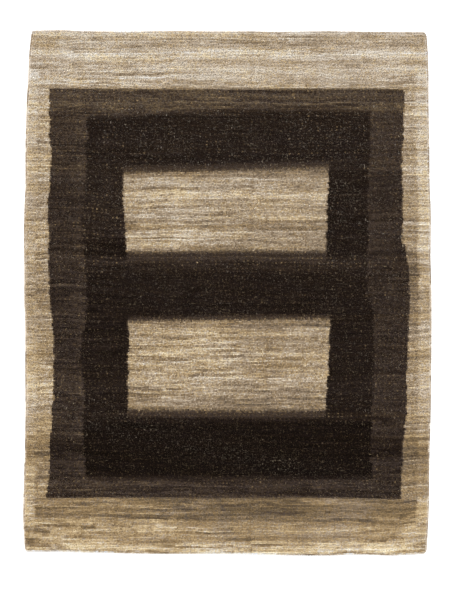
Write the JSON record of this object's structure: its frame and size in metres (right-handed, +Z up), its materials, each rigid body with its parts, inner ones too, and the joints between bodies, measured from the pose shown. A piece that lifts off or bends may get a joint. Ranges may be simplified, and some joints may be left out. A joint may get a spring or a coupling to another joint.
{
  "type": "gabbeh rug",
  "caption": "Hand-knotted wool rug lying flat: beige border, brown frame and dark field with plain light panels, overcast sides.",
  "frame": {"origin": "middle of the rug on the floor, under the centre of its outline", "axes": "+Y along the rug's length towards the end that is on top in the picture, +X across it to the picture's right, +Z up out of the pile"},
  "size_m": [1.5223, 1.9572, 0.015],
  "materials": {
    "pile_wool": "matte wool pile, streaked across the rug",
    "beige_wool": "matte undyed wool pile, cream to camel in thin streaks",
    "brown_wool": "matte dark brown wool pile",
    "black_brown_wool": "matte blackish brown wool pile with a few light knots",
    "foundation_wool": "wool warps and wefts with the backs of the knots",
    "selvedge_wool": "wool yarn wrapped round the edge warps"
  },
  "bodies": {
    "root": {"knotted_rug": "pile_wool", "selvedge_left": "selvedge_wool", "selvedge_right": "selvedge_wool"}
  },
  "joints": []
}
